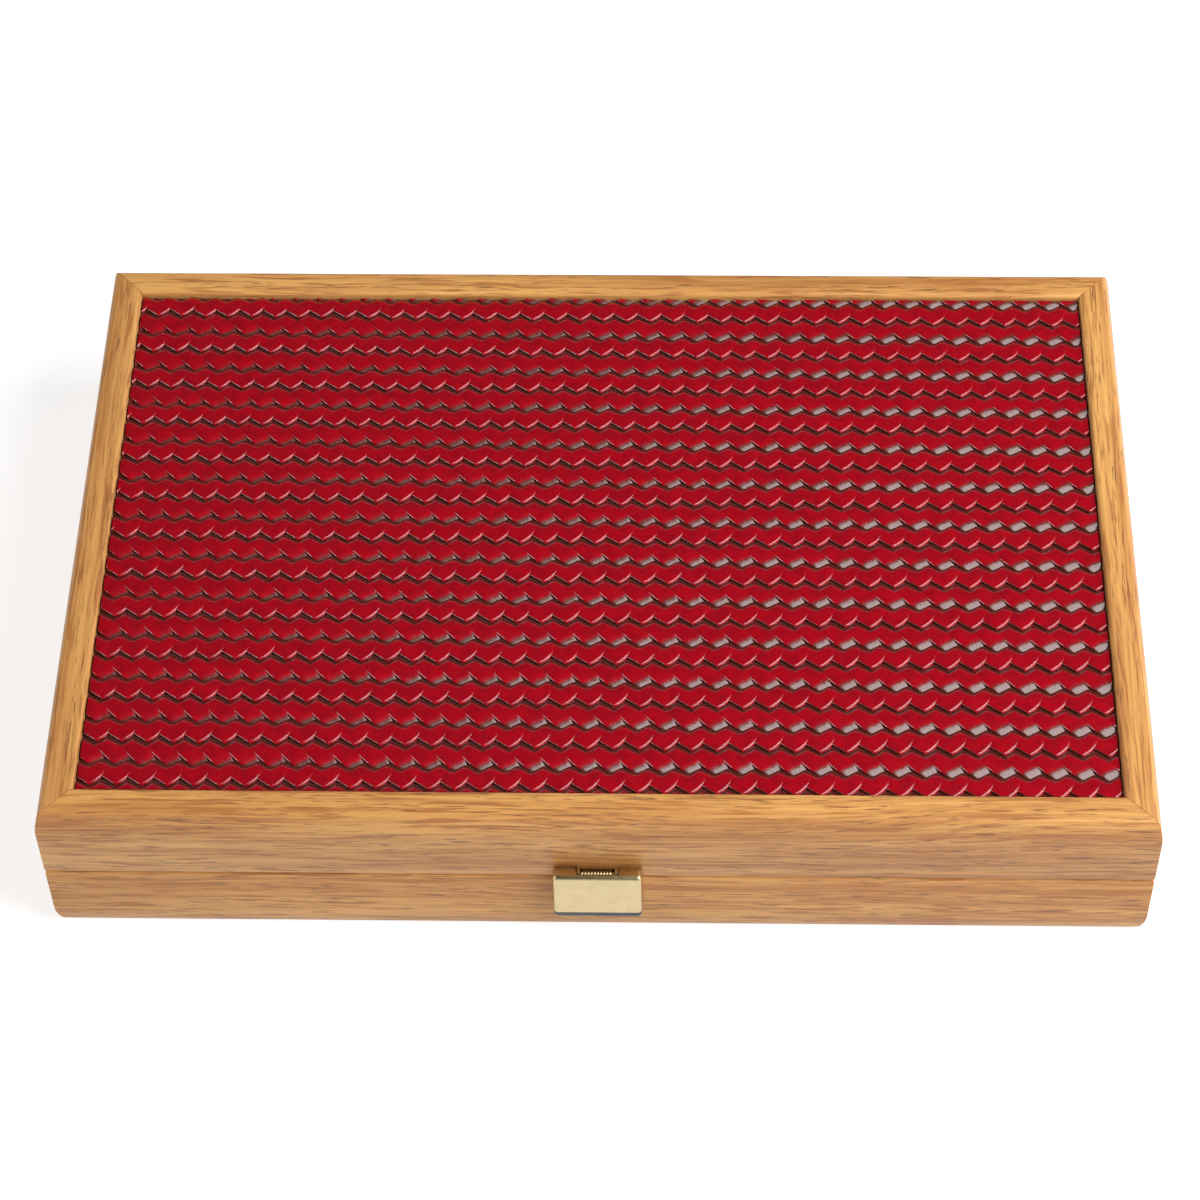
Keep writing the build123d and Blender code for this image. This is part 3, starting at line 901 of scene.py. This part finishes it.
# Name, pale, deep and pore colours, way of the grain and strength of the pores
FIELD_WOODS = {
    "core_panel": (
        "panel_wood", (0.62, 0.46, 0.28), (0.48, 0.33, 0.18), (0.25, 0.15, 0.08), "X", 0.4,
    ),
    "field_board": (
        "field_wood", (0.16, 0.075, 0.035), (0.085, 0.038, 0.02), (0.02, 0.01, 0.007), "Y", 0.7,
    ),
    "light_points": (
        "light_point_wood", (0.72, 0.53, 0.32), (0.6, 0.4, 0.22), (0.32, 0.19, 0.1), "X", 0.35,
    ),
    "dark_points": (
        "red_point_wood", (0.32, 0.035, 0.03), (0.2, 0.02, 0.02), (0.08, 0.01, 0.01), "X", 0.5,
    ),
}
CHECKER_WOODS = {
    "light": (
        "light_checker_maple", (0.76, 0.58, 0.36), (0.62, 0.43, 0.24), (0.36, 0.22, 0.12), "X", 0.3,
    ),
    "dark": (
        "dark_checker_walnut", (0.15, 0.07, 0.04), (0.07, 0.032, 0.02), (0.02, 0.01, 0.008),
        "X", 0.6,
    ),
}


class CASE_OT_field(bpy.types.Operator):
    """Finish the panels, the playing field and its points"""

    bl_idname = "case.field"
    bl_label = "Playing field"

    def execute(self, context):
        for half_name in HALVES:
            for part, wood in FIELD_WOODS.items():
                finish_node(f"{half_name}_{part}", wood_material(*wood))
        return {"FINISHED"}


# Checkers and dice


def checker_places(side):
    """Fifteen places in a row of ten and a row of five, from one end of the tray."""
    for number in range(15):
        row, column = divmod(number, 10)
        yield side * (INNER_LENGTH / 2 - 13.3 - column * 26.3), side * (75 - row * 30)


def checker_profile():
    """A turned checker's section: rounded rim, a ring groove and a shallow dish."""
    radius, thick, edge = 13.0, 8.0, 1.3
    flat = radius - edge
    side = []
    for step in range(1, 6):
        angle = QUARTER * step / 5
        side.append((flat + edge * math.sin(angle), edge - edge * math.cos(angle)))
    ring = [(flat, 0.0), (10.4, 0.0), (10.2, 0.1), (9.9, 0.55), (9.5, 0.55), (9.2, 0.1), (9.0, 0.0)]
    dish = [(7.6, 0.0), (7.2, 0.12), (6.2, 0.5), (3.0, 0.75), (0, 0.8)]
    top = [(r, thick - down) for r, down in side[::-1] + ring + dish]
    return [(0, 0.25), (8.0, 0.25), (8.6, 0.0), (flat, 0.0), *side, *top]


class CASE_OT_checkers(bpy.types.Operator):
    """Build the two players' checkers"""

    bl_idname = "case.checkers"
    bl_label = "Checkers"

    def execute(self, context):
        for name, side in (("light", -1), ("dark", 1)):
            shapes = [
                turned(checker_profile(), 48, Matrix.Translation((x, y, TRAY_LEVEL)))
                for x, y in checker_places(side)
            ]
            pieces = new_piece(
                f"{name}_turned_checkers", joined(f"{name}_turned", shapes), "base",
                f"{name}_checker_wood", wood_material(*CHECKER_WOODS[name], gloss=0.35),
                smooth_angle=50,
            )
            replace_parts(pieces, f"{name}_checkers")
        return {"FINISHED"}


PIPS = {
    1: ((0, 0),),
    2: ((-1, -1), (1, 1)),
    3: ((-1, -1), (0, 0), (1, 1)),
    4: ((-1, -1), (-1, 1), (1, -1), (1, 1)),
    5: ((-1, -1), (-1, 1), (0, 0), (1, -1), (1, 1)),
    6: ((-1, -1), (-1, 0), (-1, 1), (1, -1), (1, 0), (1, 1)),
}
# Each number's side, as a turn about an axis
DIE_SIDES = {1: (0, "X"), 6: (2, "X"), 2: (1, "X"), 5: (-1, "X"), 3: (1, "Y"), 4: (-1, "Y")}
DIE_SIZE = 12.0
PIP_RADIUS = 1.15
PIP_PITCH = 2.9


class CASE_OT_dice(bpy.types.Operator):
    """Build the two dice with their pips"""

    bl_idname = "case.dice"
    bl_label = "Dice"

    def execute(self, context):
        finishes = []
        for name, face, shade, gloss in (
            ("dice_body", (0.86, 0.83, 0.74), (0.8, 0.76, 0.66), 0.4),
            ("dice_pips", (0.02, 0.018, 0.018), (0.035, 0.03, 0.03), 0.0),
        ):
            material, tree, shader, place = new_material(name)
            values = {"Vector": place, "Face": face, "Shade": shade}
            finish_with(tree, shader, pebble_group(), values, 0.02, 0.00002, coat_weight=gloss)
            finishes.append(material)
        half = DIE_SIZE / 2
        pip = PIP_RADIUS
        dent = [(0, -0.3), (pip, -0.3), (pip, 0.0), (pip * 0.8, 0.03), (0, 0.03)]
        bodies, dents = [], []
        for x, y, turn in ((18.0, -9.0, 17.0), (41.0, 4.0, -32.0)):
            place = Matrix.Translation((x, y, TRAY_LEVEL + half))
            place = place @ Matrix.Rotation(math.radians(turn), 4, "Z")
            body = block((-half,) * 3, (half,) * 3, 1.3)
            bmesh.ops.transform(body, matrix=place, verts=body.verts)
            bodies.append(body)
            for number, (quarters, axis) in DIE_SIDES.items():
                side = place @ Matrix.Rotation(quarters * QUARTER, 4, axis)
                for column, row in PIPS[number]:
                    spot = Matrix.Translation((column * PIP_PITCH, row * PIP_PITCH, half))
                    dents.append(turned(dent, 20, side @ spot))
        mesh = joined("dice_bodies", bodies)
        dice = new_piece("ivory_dice", mesh, "base", "dice_ivory", finishes[0], smooth_angle=50)
        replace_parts(dice, "dice")
        mesh = joined("dice_pips", dents)
        new_piece("ivory_dice_pips", mesh, "base", "dice_ivory", finishes[1], smooth_angle=40)
        return {"FINISHED"}


# Hinges


def screw_head(place, radius):
    """A slotted head, flush, with its Z out of the wood."""
    profile = [
        (0, -0.45), (radius * 0.62, -0.45), (radius, -0.02), (radius * 0.97, 0.03), (0, 0.05),
    ]
    slot = block((-radius, -0.17, -0.22), (radius, 0.17, 0.3))
    bmesh.ops.transform(slot, matrix=place @ Matrix.Rotation(0.5, 4, "Z"), verts=slot.verts)
    head = mesh_from_bmesh("head", turned(profile, 32, place))
    return cut_by(head, [mesh_from_bmesh("slot", slot)])


def brass_piece(name, mesh, body, low, high, angle=40, *materials):
    """A polished piece between two roughnesses, with its edges sharp above an angle."""
    metals = (brass(low, high), *materials)
    return new_piece(name, mesh, body, "polished_brass", *metals, smooth_angle=angle)


def add_screws(name, body, places, radius):
    """Slotted heads of one size, as one piece."""
    heads = merged("heads", [screw_head(place, radius) for place in places])
    return brass_piece(name, heads, body, 0.22, 0.4, 35)


def hinge_screw_places(half):
    face = PARTING_HEIGHT + half * LEAF_GAP
    turn = Matrix.Rotation(math.pi, 4, "X") if half > 0 else Matrix.Identity(4)
    for hinge_x in HINGE_PLACES:
        for side in (-7.5, 7.5):
            yield Matrix.Translation((hinge_x + side, HINGE_AXIS_Y - 5.4, face)) @ turn


def leaf_mesh(hinge_x, half):
    """A leaf with its knuckles: the base has the outer two, the lid the middle one."""
    knuckle = HINGE_LENGTH / 3
    levels = [PARTING_HEIGHT + half * up for up in (LEAF_GAP, LEAF_GAP + LEAF_SHEET)]
    long = knuckle / 2 - 0.1
    barrel = [
        (0.92, -long), (KNUCKLE_RADIUS - 0.15, -long), (KNUCKLE_RADIUS, -long + 0.15),
        (KNUCKLE_RADIUS, long - 0.15), (KNUCKLE_RADIUS - 0.15, long), (0.92, long), (0.92, -long),
    ]
    shapes = []
    for number in range(3):
        start = hinge_x - HINGE_LENGTH / 2 + number * knuckle
        own = (number == 1) == (half > 0)
        low = (start, HINGE_AXIS_Y - 8.4, min(levels))
        high = (start + knuckle, HINGE_AXIS_Y + (0.9 if own else -2.35), max(levels))
        shapes.append(block(low, high))
        if own:
            place = on_axis(start + knuckle / 2, HINGE_AXIS_Y, PARTING_HEIGHT)
            shapes.append(turned(barrel, 48, place))
    return joined("leaf", shapes)


class CASE_OT_hinges(bpy.types.Operator):
    """Build the two butt hinges with their pins and screws"""

    bl_idname = "case.hinges"
    bl_label = "Hinges"

    def execute(self, context):
        for half_name, half in HALVES.items():
            for side, hinge_x in zip(("left", "right"), HINGE_PLACES):
                name = f"{half_name}_leaf_{side}"
                leaf = brass_piece(name, leaf_mesh(hinge_x, half), half_name, 0.2, 0.36)
                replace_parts(leaf, f"{half_name}_hinge_leaf_{side}")
            places = hinge_screw_places(half)
            screws = add_screws(f"{half_name}_hinge_heads", half_name, places, 1.55)
            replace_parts(screws, f"{half_name}_hinge_screws")
        long = HINGE_LENGTH / 2 + 0.4
        end = [(0, long), (0.5, long - 0.03), (0.8, long - 0.15), (0.9, long - 0.35)]
        profile = [(r, -up) for r, up in end] + end[::-1]
        places = [on_axis(x, HINGE_AXIS_Y, PARTING_HEIGHT) for x in HINGE_PLACES]
        mesh = joined("pins", [turned(profile, 32, place) for place in places])
        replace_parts(brass_piece("hinge_axles", mesh, "base", 0.2, 0.36), "hinge_pins")
        return {"FINISHED"}


# Clasp


def clasp_point(x, out, up):
    """A point by its distances along the case, out of the front and up from the parting."""
    return (x, FRONT_FACE - out, PARTING_HEIGHT + up)


def clasp_block(wide, low, high):
    """A box across the clasp between two (out, up) corners."""
    return block(clasp_point(-wide, *low), clasp_point(wide, *high))


def pressed_sheet():
    """The cover as one bent sheet: rounded towards the front and open at the back."""
    shape = clasp_block(
        CLASP_WIDTH / 2, (CLASP_REACH, CLASP_BOTTOM - CLASP_LIP_DROP), (0.4, CLASP_TOP)
    )
    front = min(shape.faces, key=lambda face: face.calc_center_median().y)
    back = max(shape.faces, key=lambda face: face.calc_center_median().y)
    corners = [
        edge for edge in shape.edges if edge not in front.edges[:] and edge not in back.edges[:]
    ]
    bmesh.ops.delete(shape, geom=[back], context="FACES_ONLY")
    bmesh.ops.bevel(
        shape, geom=front.edges[:] + corners, offset=1.2, segments=6, profile=0.5, affect="EDGES"
    )

    def thicken(piece):
        thick = piece.modifiers.new("thick", "SOLIDIFY")
        thick.thickness = CLASP_SHEET * MM
        thick.offset = -1
        thick.use_even_offset = True

    return with_modifiers(mesh_from_bmesh("flap", shape), thicken)


def flap_mesh():
    """The pressed cover with a notch over the coil, an inturned lip and rounded heels."""
    notch = clasp_block(CLASP_NOTCH_WIDTH / 2, (3.2, CLASP_PIN_UP), (-1, CLASP_TOP + 2))
    lip = clasp_block(CLASP_WIDTH, (1.6, CLASP_BOTTOM - 1), (-1, CLASP_BOTTOM + 2.0))
    heel = clasp_block(CLASP_WIDTH, (CLASP_PIN_OUT, CLASP_PIN_UP), (-1, 9))
    barrel = [(0, -20), (1.6, -20), (1.6, 20), (0, 20)]
    barrel = turned(barrel, 64, on_axis(*clasp_point(0, CLASP_PIN_OUT, CLASP_PIN_UP)))
    tools = (notch, lip, heel, barrel)
    notch, lip, heel, barrel = (mesh_from_bmesh("tool", tool) for tool in tools)
    mesh = cut_by(pressed_sheet(), [notch, lip, cut_by(heel, [barrel])], bevel=0.08)
    # the rolled lip along the foot gets a dark metal: a painted reflection of dark surroundings
    lip_top = (PARTING_HEIGHT + CLASP_BOTTOM - CLASP_LIP_DROP + CLASP_LIP_HEIGHT) * MM
    with editing(mesh) as shape:
        bmesh.ops.bisect_plane(
            shape, geom=everything(shape), plane_co=(0, 0, lip_top), plane_no=(0, 0, 1)
        )
        for face in shape.faces:
            low = face.calc_center_median().z < lip_top
            face.material_index = 1 if low or face.normal.z < -0.15 else 0
    return mesh


def spring_curve():
    """The coil round the clasp's pin: one leg down behind the plate, one up into the notch."""
    turns, steps, wire, radius = 10, 24, 0.25, 0.85
    ear = 0.35 + CLASP_SHEET + 0.25
    pitch = (CLASP_NOTCH_WIDTH - 2 * ear - 2 * wire) / turns
    points = []
    for k in range(turns * steps + 1):
        angle = -math.pi * turns + 2 * math.pi * k / steps
        out = CLASP_PIN_OUT + radius * math.cos(angle)
        up = CLASP_PIN_UP + radius * math.sin(angle)
        points.append(Vector(clasp_point(pitch * angle / (2 * math.pi), out, up)))
    into = (points[0] - points[1]).normalized()
    away = (points[-1] - points[-2]).normalized()
    points = [points[0] + into * 3.0, *points, points[-1] + away * 0.85]
    curve = bpy.data.curves.new("coil", "CURVE")
    curve.dimensions = "3D"
    spline = curve.splines.new("POLY")
    spline.points.add(len(points) - 1)
    for place, point in zip(spline.points, points):
        place.co = (*(point * MM), 1)
    curve.bevel_depth = wire * MM
    curve.bevel_resolution = 4
    curve.use_fill_caps = True
    return curve


class CASE_OT_clasp(bpy.types.Operator):
    """Build the sprung clasp and finish its bracket, pin and catch"""

    bl_idname = "case.clasp"
    bl_label = "Clasp"

    def execute(self, context):
        # dark metal on the flap's lip, a painted reflection of dark surroundings
        dark = metal_material("clasp_lip_dark_reflection", (0.09, 0.09, 0.1), (0.05, 0.05, 0.06), 0.3, 0.45)
        flap = brass_piece("clasp_cover", flap_mesh(), "clasp_flap", 0.24, 0.38, 35, dark)
        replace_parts(flap, "clasp_flap")
        coil = new_object("clasp_coil", spring_curve())
        coil.data.materials.append(brass(0.16, 0.3))
        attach(coil, "lid")
        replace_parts(coil, "clasp_spring")
        long = CLASP_WIDTH / 2 - 0.05
        end = [(0, long), (0.42, long), (0.5, long - 0.08)]
        profile = [(r, -up) for r, up in end] + end[::-1]
        pin = turned(profile, 24, on_axis(*clasp_point(0, CLASP_PIN_OUT, CLASP_PIN_UP)))
        pin = brass_piece("clasp_axle", mesh_from_bmesh("pin", pin), "lid", 0.16, 0.3)
        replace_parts(pin, "clasp_pin")
        finish_node("clasp_bracket", brass(0.2, 0.36), ease=0.08)
        finish_node("clasp_catch", brass(0.2, 0.36), ease=0.1)
        over = Matrix.Rotation(math.pi, 4, "X")
        places = [Matrix.Translation(clasp_point(x, -4.4, LEAF_GAP)) @ over for x in (-6.0, 6.0)]
        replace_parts(add_screws("bracket_heads", "lid", places, 1.4), "bracket_screws")
        front = Matrix.Rotation(QUARTER, 4, "X")
        places = [clasp_point(x, CLASP_SHEET, -7.0) for x in (-4.4, 4.4)]
        places = [Matrix.Translation(place) @ front for place in places]
        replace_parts(add_screws("catch_heads", "base", places, 1.3), "catch_screws")
        return {"FINISHED"}


# Stage


def add_lamp(name, place, aim, size, power):
    lamp = bpy.data.lights.new(name, "AREA")
    lamp.shape = "RECTANGLE"
    lamp.size, lamp.size_y = size
    lamp.energy = power
    holder = new_object(name, lamp)
    holder.location = place
    holder.rotation_euler = (Vector(aim) - Vector(place)).to_track_quat("-Z", "Y").to_euler()


def white_to_the_eye(tree, shader, strength):
    """Adds light to a surface only where the camera, a mirror or glass looks at it."""
    path = add_node(tree, "LightPath").outputs
    mirrored = maths(tree, "MULTIPLY", path["Is Glossy Ray"], 0.8)
    seen = maths(tree, "MAXIMUM", path["Is Camera Ray"], mirrored)
    seen = maths(tree, "MAXIMUM", seen, path["Is Transmission Ray"])
    sockets = {"Strength": maths(tree, "MULTIPLY", seen, strength)}
    glow = add_node(tree, "Emission", sockets)
    both = add_node(tree, "AddShader", {0: shader.outputs[0], 1: glow.outputs[0]})
    end = next(node for node in tree.nodes if node.type == "OUTPUT_MATERIAL")
    tree.links.new(both.outputs[0], end.inputs["Surface"])


def add_floor():
    """Pale paper that stays white to the eye and keeps the case's shadow."""
    reach = 3.0
    mesh = bpy.data.meshes.new("floor")
    corners = [(x * reach, y * reach, 0) for x, y in CORNERS]
    mesh.from_pydata(corners, [], [(0, 1, 2, 3)])
    floor = new_object("floor", mesh)
    floor.location.z = -0.0002
    material, tree, shader, place = new_material("floor_paper")
    fibre = spread(tree, noise(tree, place, 300), 0.3, 0.7)
    tone = blend_colours(tree, fibre, (0.6, 0.6, 0.6), (0.62, 0.62, 0.62))
    tree.links.new(tone, shader.inputs["Base Color"])
    shader.inputs["Roughness"].default_value = 0.9
    shader.inputs["Specular IOR Level"].default_value = 0.1
    away = add_node(tree, "VectorMath", {0: place}, operation="LENGTH")
    white_to_the_eye(tree, shader, spread(tree, away.outputs["Value"], 0.3, 1.0, 0.7, 1.0))
    mesh.materials.append(material)


def add_surroundings(scene):
    """Soft light from the sides, white where the camera looks past the floor."""
    scene.world = bpy.data.worlds.new("studio")
    scene.world.use_nodes = True
    tree = scene.world.node_tree
    tree.nodes.clear()
    direction = add_node(tree, "TexCoord").outputs["Generated"]
    height = add_node(tree, "SeparateXYZ", {0: direction}).outputs["Z"]
    soft = spread(tree, height, 0.1, 0.45, 0.46, 0.06)
    path = add_node(tree, "LightPath").outputs
    strength = maths(tree, "MAXIMUM", soft, path["Is Camera Ray"])
    sky = add_node(tree, "Background", {"Color": (1, 1, 1), "Strength": strength})
    add_node(tree, "OutputWorld", {"Surface": sky.outputs[0]})


def add_camera(scene):
    """The camera at the photograph's place, turned and rolled as it was."""
    camera = bpy.data.cameras.new("camera")
    camera.sensor_width = SENSOR_WIDTH
    camera.lens = SENSOR_WIDTH * FOCAL_PIXELS / FRAME_PIXELS
    camera.clip_start = 0.01
    holder = new_object("camera", camera)
    yaw, pitch, roll = (math.radians(a) for a in (CAMERA_YAW, CAMERA_PITCH, CAMERA_ROLL))
    level = math.cos(pitch)
    forward = Vector((math.sin(yaw) * level, math.cos(yaw) * level, -math.sin(pitch)))
    right = Vector((math.cos(yaw), -math.sin(yaw), 0))
    up = right.cross(forward)
    turned_right = math.cos(roll) * right + math.sin(roll) * up
    turned_up = -math.sin(roll) * right + math.cos(roll) * up
    rows = zip(turned_right, turned_up, -forward, CAMERA_PLACE)
    holder.matrix_world = Matrix((*rows, (0, 0, 0, 1)))
    scene.camera = holder


class CASE_OT_stage(bpy.types.Operator):
    """Set the floor, the lamps, the surroundings and the camera"""

    bl_idname = "case.stage"
    bl_label = "Stage"

    def execute(self, context):
        scene = context.scene
        scene.view_settings.view_transform = "Standard"
        add_floor()
        add_surroundings(scene)
        add_lamp("key_lamp", (0.85, -0.25, 0.85), (0, 0, 0), (0.9, 1.0), 19.0)
        add_lamp("front_lamp", (0.25, -1.7, 0.75), (0, 0, 0.03), (1.4, 0.7), 1.2)
        add_lamp("left_lamp", (-1.5, -0.45, 0.95), (0, 0, 0), (0.8, 0.8), 10.0)
        add_camera(scene)
        return {"FINISHED"}


OPERATORS = (
    CASE_OT_stage, CASE_OT_rails, CASE_OT_braid, CASE_OT_field,
    CASE_OT_checkers, CASE_OT_dice, CASE_OT_hinges, CASE_OT_clasp,
)


class CASE_PT_pieces(bpy.types.Panel):
    """Lists the pieces of the case in the sidebar"""

    bl_label = "Backgammon case"
    bl_idname = "CASE_PT_pieces"
    bl_space_type = "VIEW_3D"
    bl_region_type = "UI"
    bl_category = "Backgammon"

    def draw(self, context):
        for operator in OPERATORS:
            self.layout.operator(operator.bl_idname)
        scene = context.scene
        for group in (scene.case_colours, scene.case_rails, scene.case_braid):
            box = self.layout.box()
            for key in group.bl_rna.properties.keys():
                if key not in ("rna_type", "name"):
                    box.prop(group, key)


CLASSES = (CaseColours, BraidShape, RailShape, *OPERATORS, CASE_PT_pieces)
SETTINGS = {"case_colours": CaseColours, "case_braid": BraidShape, "case_rails": RailShape}


def register():
    for made in CLASSES:
        bpy.utils.register_class(made)
    for name, group in SETTINGS.items():
        setattr(bpy.types.Scene, name, PointerProperty(type=group))


def unregister():
    for name in SETTINGS:
        delattr(bpy.types.Scene, name)
    for made in reversed(CLASSES):
        bpy.utils.unregister_class(made)


def main():
    register()
    for operator in OPERATORS:
        family, name = operator.bl_idname.split(".")
        getattr(getattr(bpy.ops, family), name)()


if __name__ == "__main__":
    main()
